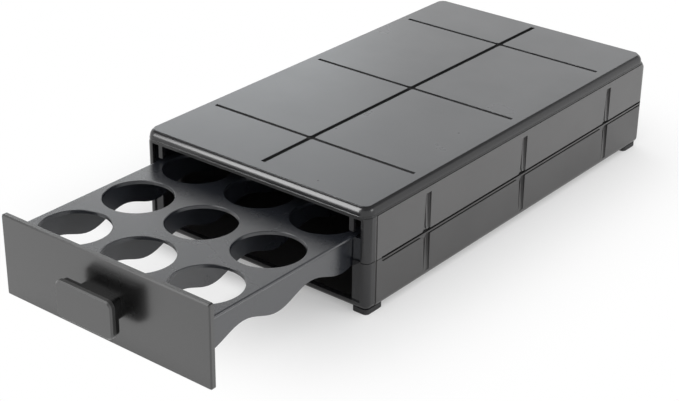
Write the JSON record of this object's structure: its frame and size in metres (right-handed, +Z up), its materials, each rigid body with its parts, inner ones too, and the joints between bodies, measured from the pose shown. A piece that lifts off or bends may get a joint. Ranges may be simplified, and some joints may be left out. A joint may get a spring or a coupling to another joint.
{
  "type": "coffee pod drawer",
  "caption": "Low countertop case with a sliding tray that hangs single-serve coffee pods in rows of round holes, strong enough on top to stand a brewer on.",
  "frame": {"origin": "middle of the bounding box's base with the drawer open as stored, on the surface that the feet stand on", "axes": "+X to the right seen from the front, +Y from the drawer's handle to the back of the case, +Z up"},
  "size_m": [0.19, 0.4892, 0.0756],
  "materials": {
    "case_plastic": "satin",
    "tray_plastic": "satin",
    "pad_plastic": "satin",
    "foot_rubber": "matt",
    "screw_steel": "brushed"
  },
  "bodies": {
    "case": {"top_cover": "case_plastic", "upper_shell": "case_plastic", "lower_shell": "case_plastic", "guide_left": "tray_plastic", "guide_right": "tray_plastic", "case_screws": "screw_steel", "foot_front_left": "foot_rubber", "foot_front_right": "foot_rubber", "foot_back_left": "foot_rubber", "foot_back_right": "foot_rubber"},
    "drawer": {"tray_deck": "tray_plastic", "tray_wall_left": "tray_plastic", "tray_wall_right": "tray_plastic", "tray_divider_left": "tray_plastic", "tray_divider_right": "tray_plastic", "tray_back": "tray_plastic", "drawer_front": "case_plastic", "handle_stem": "case_plastic", "handle_pad": "pad_plastic", "handle_screws": "screw_steel"}
  },
  "joints": [
    {"name": "drawer_slide", "type": "slide", "parent": "case", "child": "drawer", "axis": [0, -1, 0], "range_m": [-0.1294, 0.1304]}
  ]
}
